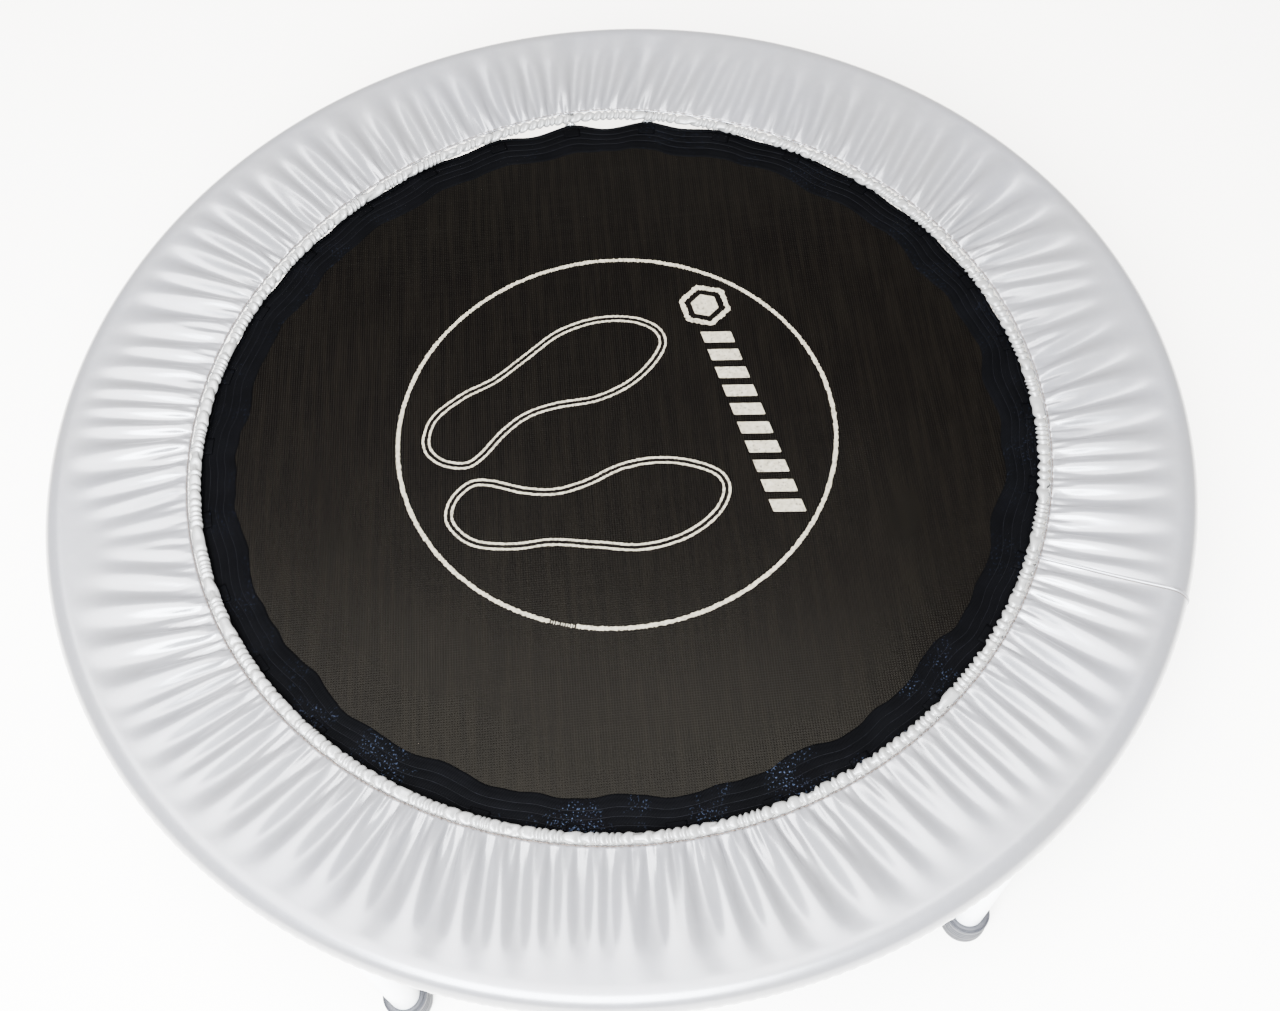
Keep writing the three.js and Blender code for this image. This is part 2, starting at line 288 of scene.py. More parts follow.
class Finish:
    """A material, and the nodes that shade it."""

    def __init__(self, name, color, roughness, metallic=0.0):
        self.material = bpy.data.materials.new(name)
        self.material.use_nodes = True
        self.tree = self.material.node_tree
        self.shader = self.tree.nodes["Principled BSDF"]
        self.shader.inputs["Base Color"].default_value = (*color, 1)
        self.shader.inputs["Roughness"].default_value = roughness
        self.shader.inputs["Metallic"].default_value = metallic
        self.place = self.tree.nodes.new("ShaderNodeTexCoord").outputs["Object"]

    def set(self, **values):
        """Sets the shader's own sockets, named with _ for each space."""
        for name, value in values.items():
            self.shader.inputs[name.replace("_", " ")].default_value = value

    def node(self, kind, inputs, **settings):
        """A new node, its inputs values or other nodes' outputs."""
        made = self.tree.nodes.new(kind)
        for key, value in settings.items():
            setattr(made, key, value)
        for key, value in inputs.items():
            if isinstance(value, bpy.types.NodeSocket):
                self.tree.links.new(value, made.inputs[key])
            else:
                made.inputs[key].default_value = value
        return made

    def stretched(self, x, y, z):
        """The place, multiplied along each axis."""
        return self.node("ShaderNodeMapping", {"Vector": self.place, "Scale": (x, y, z)}).outputs[0]

    def noise(self, scale, detail=3.0, place=None):
        """Noise whose lumps are 1 / scale metres across."""
        inputs = {"Vector": place or self.place, "Scale": scale, "Detail": detail}
        return self.node("ShaderNodeTexNoise", inputs).outputs["Fac"]

    def cells(self, scale):
        """Distance to the nearest of random points about 1 / scale metres apart."""
        inputs = {"Vector": self.place, "Scale": scale}
        return self.node("ShaderNodeTexVoronoi", inputs).outputs["Distance"]

    def bands(self, period, direction):
        """A sine wave, from 0 to 1, along one axis."""
        inputs = {"Vector": self.place, "Scale": math.tau / period / 20}
        return self.node("ShaderNodeTexWave", inputs, bands_direction=direction).outputs["Fac"]

    def times(self, a, b):
        """The product of two outputs."""
        return self.node("ShaderNodeMath", {0: a, 1: b}, operation="MULTIPLY").outputs[0]

    def spread(self, value, low, high, to_low=0.0, to_high=1.0):
        """value, mapped from low..high to to_low..to_high and held there."""
        inputs = {"Value": value, "From Min": low, "From Max": high, "To Min": to_low, "To Max": to_high}
        return self.node("ShaderNodeMapRange", inputs).outputs[0]

    def tint(self, share, color):
        """The colour so far, turned by share towards another."""
        base = self.shader.inputs["Base Color"]
        before = base.links[0].from_socket if base.is_linked else base.default_value
        inputs = {"Factor": share, "A": before, "B": (*color, 1)}
        made = self.node("ShaderNodeMix", inputs, data_type="RGBA")
        self.tree.links.new(made.outputs["Result"], base)

    def clouds(self, color, scale, detail, low, high, most=1.0):
        """Clouds of another colour, where noise is over low, and full at high."""
        self.tint(self.spread(self.noise(scale, detail), low, high, 0, most), color)

    def roughen(self, share, low, high):
        """Roughness from low to high as share goes from 0 to 1."""
        self.tree.links.new(self.spread(share, 0, 1, low, high), self.shader.inputs["Roughness"])

    def bump(self, height, distance, strength=1.0):
        """Raises the surface by up to a distance, on top of any bump before."""
        inputs = {"Height": height, "Distance": distance, "Strength": strength}
        before = self.shader.inputs["Normal"]
        if before.is_linked:
            inputs["Normal"] = before.links[0].from_socket
        made = self.node("ShaderNodeBump", inputs)
        self.tree.links.new(made.outputs[0], before)

    def grain(self, scale, detail, distance, strength):
        """A bump of noise."""
        self.bump(self.noise(scale, detail), distance, strength)


def silver_vinyl():
    """Pearly grey vinyl: a soft gloss, a fine grain and faint clouds of lilac."""
    finish = Finish("silver_vinyl", (0.124, 0.121, 0.124), 0.3, 0.32)
    finish.set(Coat_Weight=0.9, Coat_Roughness=0.22, Specular_IOR_Level=0.7)
    finish.clouds((0.122, 0.122, 0.137), 9, 4, 0.4, 0.7, 0.5)
    finish.clouds((0.154, 0.149, 0.147), 160, 3, 0.45, 0.75, 0.25)
    finish.roughen(finish.noise(40, 4), 0.26, 0.38)
    finish.grain(2600, 2, 0.05 * MM, 0.5)
    finish.bump(finish.cells(900), 0.06 * MM, 0.35)
    finish.grain(70, 3, 0.35 * MM, 0.35)
    return finish.material


def casing_vinyl():
    """The same vinyl, crumpled tighter and a little yellower on its ruffles."""
    finish = Finish("casing_vinyl", (0.165, 0.161, 0.154), 0.36, 0.2)
    finish.set(Coat_Weight=0.4, Coat_Roughness=0.2)
    finish.clouds((0.135, 0.129, 0.121), 120, 3, 0.45, 0.7, 0.6)
    finish.roughen(finish.noise(60, 4), 0.3, 0.46)
    finish.grain(2600, 2, 0.05 * MM, 0.5)
    finish.grain(420, 3, 0.3 * MM, 0.5)
    return finish.material


def mat_weave():
    """Black woven polypropylene: a fine over-and-under grid with threads that catch the light unevenly."""
    finish = Finish("mat_weave", (0.0004, 0.0003, 0.0003), 0.22)
    finish.set(Specular_IOR_Level=0.024, Specular_Tint=(1, 0.93, 0.78, 1), Alpha=0.996)
    warp = finish.bands(2.1 * MM, "X")
    weft = finish.bands(2.1 * MM, "Y")
    cross = finish.times(warp, weft)
    streaks = finish.noise(1.0, 3, finish.stretched(210, 14, 1))
    picks = finish.noise(1.0, 3, finish.stretched(16, 320, 1))
    finish.tint(finish.spread(streaks, 0.42, 0.68, 0, 0.7), (0.0014, 0.0011, 0.0008))
    finish.tint(finish.spread(picks, 0.45, 0.7, 0, 0.4), (0.0012, 0.001, 0.0008))
    finish.tint(finish.spread(cross, 0.2, 0.9, 0, 0.8), (0.0019, 0.0016, 0.0012))
    finish.clouds((0.0018, 0.0016, 0.0013), 2.2, 3, 0.45, 0.7, 0.3)
    finish.roughen(cross, 0.16, 0.4)
    finish.bump(cross, 0.12 * MM, 0.7)
    finish.grain(1500, 2, 0.04 * MM, 0.5)
    return finish.material


def webbing_weave():
    """Solid black webbing: a tight twill, with blue glints painted into its colour in patches at the near
    side.
    """
    finish = Finish("webbing_weave", (0.0004, 0.0004, 0.0005), 0.75)
    finish.set(Specular_IOR_Level=0.01)
    inputs = {"Vector": finish.place, "Rotation": (0, 0, math.radians(45))}
    slanted = finish.node("ShaderNodeMapping", inputs).outputs[0]
    inputs = {"Vector": slanted, "Scale": math.tau / (1.9 * MM) / 20, "Distortion": 0.6}
    twill = finish.node("ShaderNodeTexWave", inputs, bands_direction="X").outputs["Fac"]
    # Painted highlights: blue glints tinted into the base colour, in patches, and only at the near side.
    painted_glints = finish.spread(finish.noise(560, 2), 0.6, 0.7)
    painted_glint_patches = finish.spread(finish.noise(24, 2), 0.5, 0.62)
    finish.clouds((0.0008, 0.0008, 0.001), 35, 4, 0.4, 0.7, 0.6)
    nearness = finish.node("ShaderNodeSeparateXYZ", {"Vector": finish.place}).outputs["Y"]
    painted_glint_patches = finish.times(painted_glint_patches, finish.spread(nearness, -0.32, -0.2, 1, 0.1))
    finish.tint(finish.times(painted_glints, painted_glint_patches), (0.016, 0.021, 0.036))
    finish.roughen(finish.noise(700, 2), 0.55, 0.85)
    finish.bump(twill, 0.3 * MM, 0.6)
    finish.grain(1300, 2, 0.15 * MM, 0.5)
    return finish.material


def band_thread():
    """Black polyester sewing thread."""
    finish = Finish("band_thread", (0.0007, 0.0007, 0.0009), 0.6)
    finish.set(Specular_IOR_Level=0.03)
    finish.clouds((0.0017, 0.0017, 0.0024), 300, 2, 0.4, 0.7)
    finish.grain(2500, 2, 0.05 * MM, 0.6)
    return finish.material


def cream_print():
    """Cream threads woven through the mat, a little worn so that the black shows."""
    finish = Finish("cream_print", (0.15, 0.13, 0.092), 0.65)
    finish.set(Specular_IOR_Level=0.2)
    finish.clouds((0.215, 0.19, 0.142), 260, 3, 0.4, 0.7)
    picks = finish.spread(finish.bands(1.05 * MM, "Y"), 0.0, 0.35, 0.45, 0)
    finish.tint(picks, (0.07, 0.06, 0.042))
    worn = finish.spread(finish.noise(480, 2), 0.56, 0.68, 0, 0.75)
    finish.tint(worn, (0.024, 0.02, 0.015))
    finish.roughen(finish.noise(400, 2), 0.5, 0.7)
    finish.bump(finish.bands(1.05 * MM, "Y"), 0.2 * MM, 0.7)
    finish.grain(1600, 2, 0.1 * MM, 0.5)
    return finish.material


def brown_thread():
    """Dark brown sewing thread, twisted."""
    finish = Finish("brown_thread", (0.03, 0.019, 0.013), 0.6)
    finish.clouds((0.07, 0.045, 0.03), 500, 2, 0.4, 0.7)
    finish.grain(2400, 2, 0.08 * MM, 0.6)
    return finish.material


def white_paint(name, color):
    """Powder coat: a faint orange peel, dust and a few dull scuffs."""
    finish = Finish(name, color, 0.3)
    finish.set(Coat_Weight=0.3, Coat_Roughness=0.15)
    dust = tuple(0.86 * c for c in color)
    finish.clouds(dust, 60, 5, 0.52, 0.75, 0.6)
    scuffs = finish.spread(finish.noise(1.0, 5, finish.stretched(240, 240, 30)), 0.66, 0.72, 0, 0.5)
    finish.tint(scuffs, tuple(0.6 * c for c in color))
    finish.roughen(finish.noise(90, 4), 0.24, 0.42)
    finish.grain(650, 2, 0.06 * MM, 0.5)
    return finish.material


def zinc_plate():
    """Bright zinc on spring steel, with drawn lines and dull blooms."""
    finish = Finish("zinc_plate", (0.62, 0.63, 0.64), 0.3, 1.0)
    finish.clouds((0.44, 0.44, 0.43), 180, 4, 0.45, 0.7, 0.7)
    finish.roughen(finish.noise(260, 4), 0.2, 0.45)
    finish.bump(finish.noise(1.0, 2, finish.stretched(200, 3000, 3000)), 0.03 * MM, 0.5)
    return finish.material


def grey_rubber():
    """Dark grey moulded rubber, dusty where it is rubbed."""
    finish = Finish("grey_rubber", (0.017, 0.017, 0.021), 0.62)
    finish.set(Specular_IOR_Level=0.4)
    finish.clouds((0.034, 0.033, 0.036), 110, 5, 0.45, 0.72, 0.7)
    finish.roughen(finish.noise(200, 4), 0.5, 0.75)
    finish.grain(1200, 3, 0.08 * MM, 0.6)
    return finish.material


def pale_floor():
    """A plain cream floor."""
    finish = Finish("pale_floor", (0.96, 0.91, 0.83), 0.7)
    finish.set(Specular_IOR_Level=0.2)
    finish.clouds((0.97, 0.935, 0.87), 1.2, 2, 0.35, 0.7, 0.5)
    finish.grain(240, 3, 0.1 * MM, 0.2)
    return finish.material


VINYL = silver_vinyl()
CASING = casing_vinyl()
WEAVE = mat_weave()
WEBBING = webbing_weave()
BAND_THREAD = band_thread()
PRINT = cream_print()
THREAD = brown_thread()
FRAME_PAINT = white_paint("frame_paint_finish", (0.74, 0.75, 0.77))
LEG_PAINT = white_paint("leg_paint_finish", (0.82, 0.83, 0.85))
ZINC = zinc_plate()
RUBBER = grey_rubber()


# ---- cover: a sheet gathered by its elastic, drawn over the springs and round the ring ----

COVER_COLUMNS = 1120
COVER_ROWS = 44
ROUGH_COLUMNS = 560
ROUGH_ROWS = 30
HEM_FULLNESS = 0.24  # how much more cloth there is than room for it at the stitch line
FULL_RADIUS = 449 * MM  # where that spare cloth has run out
HELD_RADIUS = 463 * MM  # the cover lies tight on the ring outside this
HEM_BULGE = 8 * MM  # how far the far side's stitch line is pulled out towards the ring
WRAP_RADIUS = TUBE_RADIUS + COVER_GAP


def hem_shift(angle):
    """How far outwards the elastic lies at each angle, because the cover sits a little off centre."""
    return HEM_BULGE * bump_at(angle, math.radians(90), math.radians(19))


def cover_section(rows):
    """The cover's section from the stitch line out, as evenly spaced radii and heights."""
    across = RING_RADIUS - STITCH_RADIUS
    straight = math.sqrt(across ** 2 - WRAP_RADIUS ** 2)
    rise = math.asin(WRAP_RADIUS / across)
    wrap = math.pi / 2 + rise + COVER_TUCK
    run = np.linspace(0, straight + WRAP_RADIUS * wrap, rows)
    turn = math.pi / 2 + rise - (run - straight) / WRAP_RADIUS
    on_ring = run > straight
    radius = np.where(on_ring, RING_RADIUS + WRAP_RADIUS * np.cos(turn), STITCH_RADIUS + run * math.cos(rise))
    height = np.where(on_ring, RING_Z + WRAP_RADIUS * np.sin(turn), RING_Z + run * math.sin(rise))
    return radius, height


def cover_grid(rows, columns, seed):
    """The sheet before it settles: its points, how freely each moves, and its rest lengths round and out."""
    rng = np.random.default_rng(seed)
    turn = full_turn(columns)
    radius, height = cover_section(rows)
    inside = np.clip((HELD_RADIUS - radius) / (HELD_RADIUS - STITCH_RADIUS), 0, 1)
    shift = hem_shift(turn)
    lean = math.radians(1.5) * wander(rng, columns, 3, 16) + SEAM_LEAN * bump_at(turn, SEAM_ANGLE, 0.32)
    seam = bump_at(turn, SEAM_ANGLE, math.radians(2))
    fullness = HEM_FULLNESS * (1 + 0.3 * wander(rng, columns, 5, 40)) * (1 - 0.5 * seam)
    reach = FULL_RADIUS + 9 * MM * wander(rng, columns, 2, 30)
    ripple = wander(rng, columns, 70, 200)
    points = polar(
        radius[:, None] + shift * inside[:, None],
        turn + lean * inside[:, None] ** 1.5,
        height[:, None] + 1.2 * MM * ripple * inside[:, None] * (1 - inside[:, None] ** 6),
    )
    spare = fullness * np.clip((reach - radius[:, None]) / (reach - STITCH_RADIUS), 0, 1) ** 1.15
    round_rest = math.tau * radius[:, None] / columns * (1 + spare)
    out_rest = np.hypot(np.diff(radius), np.diff(height))[:, None]
    out_rest = out_rest * (1 - shift / (RING_RADIUS - STITCH_RADIUS) * (inside[1:, None] > 0))
    free = np.ones((rows, columns))
    free[0] = 0
    free[radius > HELD_RADIUS] = 0
    return [x.astype(np.float32) for x in (points, free, round_rest, out_rest)]


def pull(points, free, a, b, rest, share):
    """Moves the points picked by a and b a share of the way to their rest distance apart."""
    span = points[b] - points[a]
    length = np.sqrt((span * span).sum(-1)) + 1e-9
    move = (share * (length - rest) / length / (free[a] + free[b] + 1e-9))[..., None] * span
    points[a] += free[a][..., None] * move
    points[b] -= free[b][..., None] * move


def pull_round(points, free, round_rest, step, share):
    """Pulls each point and the one some columns on towards their rest distance."""
    columns = points.shape[1]
    every = np.arange(columns)
    for half in range(2):
        a = every[(every // step) % 2 == half]
        pull(points, free, np.s_[:, a], np.s_[:, (a + step) % columns], round_rest[:, a] * step, share)


def pull_out(points, free, out_rest, round_rest, slant, share):
    """Pulls each point and the one in the next row out, some columns on, towards their rest distance."""
    rows, columns = points.shape[:2]
    every = np.arange(columns)
    for first in range(2):
        low, high = slice(first, rows - 1, 2), slice(first + 1, rows, 2)
        rest = np.hypot(out_rest[low], round_rest[low] * slant)
        pull(points, free, np.s_[low, every], np.s_[high, (every + slant) % columns], rest, share)


def push_off(points, free):
    """Lifts the cloth off the springs and pushes it out of the ring's tube."""
    points[..., 2] = np.maximum(points[..., 2], FOLD_FLOOR)
    radius = np.hypot(points[..., 0], points[..., 1])
    across, up = radius - RING_RADIUS, points[..., 2] - RING_Z
    away = np.hypot(across, up) + 1e-9
    push = np.maximum(0, WRAP_RADIUS - 0.2 * MM - away) * (free > 0) / away
    points[..., 2] += push * up
    points[..., :2] *= (1 + push * across / radius)[..., None]


def settle(points, free, round_rest, out_rest, passes, stiffness):
    """Lets the sheet buckle into folds: its lengths pull it, and it stiffens against tight bends."""
    speed = np.zeros_like(points)
    for i in range(passes):
        before = points.copy()
        points += speed * free[..., None]
        pull_round(points, free, round_rest, 1, 1.0)
        pull_out(points, free, out_rest, round_rest, 0, 1.0)
        if i % 2 == 0:
            pull_out(points, free, out_rest, round_rest, 1, 0.3)
            pull_out(points, free, out_rest, round_rest, -1, 0.3)
        pull_round(points, free, round_rest, 2, stiffness)
        middle = (points[:-2] + points[2:]) / 2 - points[1:-1]
        points[1:-1] += 0.02 * free[1:-1, :, None] * middle
        push_off(points, free)
        speed = np.clip((points - before) * 0.9, -0.8 * MM, 0.8 * MM)
    return points


def resampled(points, rows, columns):
    """The grid of points at another fineness."""
    old_rows, old_columns = points.shape[:2]
    c = np.arange(columns) * old_columns / columns
    c0 = c.astype(int)
    part = (c - c0)[None, :, None]
    wide = points[:, c0] * (1 - part) + points[:, (c0 + 1) % old_columns] * part
    r = np.linspace(0, old_rows - 1, rows)
    r0 = np.minimum(r.astype(int), old_rows - 2)
    part = (r - r0)[:, None, None]
    return (wide[r0] * (1 - part) + wide[r0 + 1] * part).astype(np.float32)


def settled_cover():
    """The gathered sheet's points, settled roughly and then finely, and how much cloth is in it."""
    rough = settle(*cover_grid(ROUGH_ROWS, ROUGH_COLUMNS, 3), 260, 0.05)
    start, free, round_rest, out_rest = cover_grid(COVER_ROWS, COVER_COLUMNS, 3)
    points = resampled(rough, COVER_ROWS, COVER_COLUMNS)
    points[free == 0] = start[free == 0]
    cloth = float(((round_rest[:-1] + round_rest[1:]) / 2 * out_rest).sum())
    return settle(points, free, round_rest, out_rest, 150, 0.02).astype(float), cloth


def hem_gathers(points):
    """The small puckers that the hidden outer elastic makes under the ring's outer side."""
    rng = np.random.default_rng(8)
    columns = points.shape[1]
    crests = np.sin(300 * full_turn(columns) + 5 * wander(rng, columns, 3, 30))
    rows = np.clip(np.linspace(-8, 1, COVER_ROWS), 0, 1)[:, None]
    outward_way = points[..., :2] / np.hypot(points[..., 0], points[..., 1])[..., None]
    points[..., :2] += outward_way * (0.5 * MM * rows * (1 + crests))[..., None]
    return points


settled_points, cover_cloth = settled_cover()
cover_points = hem_gathers(settled_points)
cover_skin = mesh_object("cover_skin", cover_points, grid_faces(COVER_ROWS, COVER_COLUMNS), VINYL)
thicken_sheet(cover_skin, COVER_THICKNESS, 0)
fit(cover_skin, "frame", "cover")


def ruffled_casing():
    """The narrow tube of vinyl round the elastic, ruffled finely and unevenly, with slanting ruffles."""
    columns, sides = 2800, 14
    rng = np.random.default_rng(11)
    turn = full_turn(columns)
    section = full_turn(sides)
    phase = 300 * turn + 9 * wander(rng, columns, 8, 60) + 2.5 * wander(rng, columns, 60, 190)
    slant = 2.6 + 1.6 * wander(rng, columns, 2, 14)
    ruffle = np.abs(np.sin((phase + slant * np.sin(section[:, None])) / 2)) ** 0.8
    depth = 0.64 + 0.08 * wander(rng, columns, 20, 90)
    swell = 1 - depth * (1 - ruffle) + 0.05 * wander(rng, columns, 30, 160)
    radius = STITCH_RADIUS - 5.0 * MM + hem_shift(turn) + 0.35 * MM * wander(rng, columns, 20, 90)
    across = 5.4 * MM * np.cos(section[:, None]) * swell
    up = 4.0 * MM * np.sin(section[:, None]) * swell
    points = polar(radius + across, turn, RING_Z - 2.0 * MM + up)
    return mesh_object("cover_casing", points, grid_faces(sides, columns, wrap_rows=True), CASING)


cover_casing = ruffled_casing()
fit(cover_casing, "frame", "cover_elastic")


STITCH_ARCH = [-0.5, 0.15, 0.3, 0.15, -0.5]  # a stitch's heights over the cloth, in its own radii


def stitches(path, name, length, gap, radius, material):
    """Short stitches along a closed path, each dipping into the cloth at its ends."""
    way_round, points_at = measured_loop(path)
    count = int(way_round / (length + gap))
    parts = []
    for i in range(count):
        places = i + np.linspace(0, length / (length + gap), len(STITCH_ARCH))
        points = points_at(places / count * way_round)
        points[:, 2] += np.array(STITCH_ARCH) * radius
        parts.append(tube_part(points, radius, 5))
    return joined_object(name, parts, material)


stitch_line = cover_points[1] * 0.35 + cover_points[0] * 0.65 + (0, 0, COVER_THICKNESS * 0.6)
cover_stitching = stitches(stitch_line, "cover_stitching", 3.6 * MM, 0.4 * MM, 0.45 * MM, THREAD)
fit(cover_stitching, "frame")


SEAM_COLUMN = round(SEAM_ANGLE % math.tau / math.tau * COVER_COLUMNS)


def beside_seam(share, lift):
    """A path along the seam, a share of the way to the next column of the cover's points and lifted."""
    path = cover_points[:-2, SEAM_COLUMN] * (1 - share) + cover_points[:-2, SEAM_COLUMN - 1] * share
    return path + (0, 0, lift)


def cover_seam_piece():
    """The welt where the ends of the cover's strip are sewn together, with a lower fold beside it."""
    welt = tube_part(beside_seam(-0.1, 0.7 * MM), 1.25 * MM, 10)
    fold = tube_part(beside_seam(-0.75, 0.15 * MM), 0.7 * MM, 8)
    return joined_object("cover_seam", [welt, fold], VINYL)


cover_seam = cover_seam_piece()
fit(cover_seam, "frame")

# Painted shade: a thin dark-brown tube in the thread's finish, laid beside the seam's welt to draw the shadow
# line along it.
cover_seam_shadow_line = tube_object("cover_seam_shadow_line", beside_seam(0.45, 0.55 * MM), 0.3 * MM, 6, THREAD)
fit(cover_seam_shadow_line, "frame")

hem_bead_path = cover_points[-1] - (0, 0, 0.4 * MM)
cover_hem = tube_object("cover_hem", hem_bead_path, 0.8 * MM, 8, CASING, closed=True)
fit(cover_hem, "frame")


# ---- mat: a woven sheet with a doubled border, hung in V-rings ----

def mat_height(radius):
    """The mat's middle surface: a shallow dish inside the border, and flat under it."""
    return MAT_Z - MAT_SAG * np.maximum(0, 1 - (np.asarray(radius) / BED_RADIUS) ** 2)


def follow_mat(piece):
    """Bakes a piece of the mat's placement into its mesh."""
    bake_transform(piece)


def mat_cloth():
    """The jumping mat's woven sheet."""
    rows, columns = 44, 96
    radius = np.linspace(1 / rows, 1, rows)[:, None] * MAT_CLOTH_RADIUS
    points = polar(radius, full_turn(columns), mat_height(radius))
    faces = grid_faces(rows, columns).tolist() + fan_faces(0, columns, rows * columns)
    points = np.vstack([points.reshape(-1, 3), (0, 0, mat_height(0))])
    return mesh_object("mat_cloth", points, faces, WEAVE)


mat_sheet = mat_cloth()
follow_mat(mat_sheet)
thicken_sheet(mat_sheet, 2 * MAT_HALF, 0)
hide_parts("mat_bed")


def border_edges(turn):
    """The border's inner and outer radius at each angle: scalloped by the pull of the springs."""
    pull_of_spring = np.cos(SPRINGS * (turn - FIRST_SPRING))
    every_other = np.cos(SPRINGS / 2 * (turn - math.radians(2)))
    uneven = wander(np.random.default_rng(21), len(turn), 9, 90)
    depth = 1.4 + 0.8 * bump_at(turn, math.radians(-12), math.radians(62))
    inner = 327.5 * MM + depth * MM * (1.1 * pull_of_spring - 1.3 * every_other) + 1.3 * MM * uneven
    far_side = bump_at(turn, math.radians(90), math.radians(42))
    bare = bump_at(turn, math.radians(90), math.radians(15))
    outer = 361 * MM + MM * (1.3 * pull_of_spring + 5.5 * far_side - 3.2 * bare * (1 - pull_of_spring))
    return inner, outer + 0.5 * MM * np.roll(uneven, len(turn) // 5)


def border_surface(turn, share):
    """The radius and height of the border's top, a share of the way from its inner to its outer edge."""
    inner, outer = border_edges(turn)
    radius = inner + (outer - inner) * share
    rim = np.minimum(share, 1 - share)
    crown = BAND_HALF * np.clip(rim / 0.05, 0, 1) ** 0.5
    fold = 0.18 * MM * np.cos(share * 5 * math.tau)
    fold = fold + 0.3 * MM * np.cos(SPRINGS * (turn - FIRST_SPRING)) * share
    return radius, np.maximum(crown + fold * (rim > 0.02), 0.15 * MM)


def mat_band_piece():
    """The doubled webbing border, folded and quilted by its rows of stitching."""
    columns, rows = 1200, 26
    turn = full_turn(columns)
    shares = np.linspace(0, 1, rows)[:, None]
    radius, height = border_surface(turn, shares)
    top = polar(radius, turn, MAT_Z + height)
    bottom = polar(radius, turn, MAT_Z - height)[::-1]
    points = np.concatenate([top, bottom])
    return mesh_object("mat_band", points, grid_faces(2 * rows, columns, wrap_rows=True), WEBBING)


def mat_band_stitching():
    """Four rows of black stitches round the border."""
    turn = full_turn(1200)
    parts = []
    for share in (0.3, 0.5, 0.7, 0.9):
        radius, height = border_surface(turn, share)
        parts.append(tube_part(polar(radius, turn, MAT_Z + height), 0.3 * MM, 4, closed=True))
    return joined_object("mat_band_stitching", parts, BAND_THREAD)


V_RING_WIRE = 1.3 * MM
V_RING_BASE = 358.5 * MM
V_RING_APEX = 369.6 * MM


def webbing_loop(angle, number):
    """The short loop of webbing that holds a V-ring to the border: round the ring's wire and back."""
    half_width, thickness = 8 * MM, 1.1 * MM
    inner, bend, lift = 350 * MM, V_RING_BASE, BAND_HALF + 0.8 * MM
    turn = np.linspace(math.pi / 2, -math.pi / 2, 9)
    profile = [(inner, lift), (bend - 8 * MM, lift)]
    profile += [(bend + lift * math.cos(t), lift * math.sin(t)) for t in turn]
    profile += [(bend - 8 * MM, -lift), (inner, -lift)]
    profile = np.array(profile)
    across = np.linspace(-half_width, half_width, 7)
    x = np.repeat(profile[:, :1], len(across), 1)
    z = np.repeat(profile[:, 1:], len(across), 1) + MAT_Z
    points = np.stack([x, np.broadcast_to(across, x.shape), z], -1)
    faces = grid_faces(len(profile), len(across), wrap_columns=False)
    loop = mesh_object(f"v_ring_loop_{number:02d}", points, faces, WEBBING)
    loop.data.transform(Matrix.Rotation(angle, 4, "Z"))
    thicken_sheet(loop, thickness, 0)
    return loop


mat_band = mat_band_piece()
fit(mat_band, "mat_rim", "mat_hem")
band_stitching = mat_band_stitching()
fit(band_stitching, "mat_rim")


# ---- V-rings and springs ----

def v_ring_path():
    """A rounded triangle of wire: a wide side in the webbing and a narrow one in the spring's hook."""
    corners = [
        (V_RING_BASE, -9 * MM),
        (V_RING_APEX, -3.6 * MM),
        (V_RING_APEX, 3.6 * MM),
        (V_RING_BASE, 9 * MM),
    ]
    return [(x, y, MAT_Z) for x, y in rounded(corners, 2.6 * MM, steps=6)]


v_ring_shape = v_ring_path()
v_rings, loops = [], []
for number, angle in enumerate(spring_angles, 1):
    v_ring = tube_object(f"v_ring_{number:02d}", v_ring_shape, V_RING_WIRE, 10, ZINC, closed=True)
    v_ring.data.transform(Matrix.Rotation(angle, 4, "Z"))
    fit(v_ring, "mat_rim")
    v_rings.append(v_ring)
    loop = webbing_loop(angle, number)
    fit(loop, "mat_rim")
    loops.append(loop)

SPRING_WIRE = 1.1 * MM
COIL_RADIUS = 4.9 * MM
COIL_START = 380 * MM
COIL_END = 446 * MM
COIL_TURNS = 25


def arc(x, z, radius, start, end, steps):
    """Points of an arc in the plane y = 0, its angles in degrees."""
    turn = np.radians(np.linspace(start, end, steps))
    return np.stack([x + radius * np.cos(turn), 0 * turn, z + radius * np.sin(turn)], 1)


def spring_path():
    """The spring's wire: a hook round the V-ring, the coil, and a hook into the ring's slot."""
    inner_hook = arc(371 * MM, 0, COIL_RADIUS, 285, 92, 16)
    lead_in = np.linspace([372.5 * MM, 0, COIL_RADIUS], [COIL_START - 1.5 * MM, 0, COIL_RADIUS], 4)
    turn = np.linspace(0, math.tau * COIL_TURNS, COIL_TURNS * 14 + 1)
    along = np.linspace(COIL_START, COIL_END, len(turn))
    coil = np.stack([along, COIL_RADIUS * np.sin(turn), COIL_RADIUS * np.cos(turn)], 1)
    fall = np.linspace(0.12, 1, 7)
    drop = COIL_RADIUS * fall ** 2 * (3 - 2 * fall)
    lead_out = np.stack([COIL_END + 12 * MM * fall, 0 * fall, COIL_RADIUS - drop], 1)
    outer_hook = arc(462.8 * MM, 2.9 * MM, 2.9 * MM, -90, 115, 12)
    path = np.vstack([inner_hook, lead_in, coil, lead_out, outer_hook])
    return path + (0, 0, MAT_Z)


spring_shape = tube_object("coil_spring_01", spring_path(), SPRING_WIRE, 8, ZINC)
for number, angle in enumerate(spring_angles, 1):
    spring = spring_shape
    if number > 1:
        spring = bpy.data.objects.new(f"coil_spring_{number:02d}", spring_shape.data)
        bpy.context.scene.collection.objects.link(spring)
    spring.matrix_world = Matrix.Rotation(angle, 4, "Z")
    fit(spring, f"spring_{number:02d}", f"spring_{number:02d}")


# ---- print on the mat: a ring, two soles and a plain pattern ----

PRINT_RING_RADIUS = 189.3 * MM
PRINT_RING_WIDTH = 3.4 * MM
PRINT_CENTRE = np.array([-0.5, 0.9]) * MM
PRINT_LIFT = 0.8 * MM  # from the mat's middle surface to the top of the print


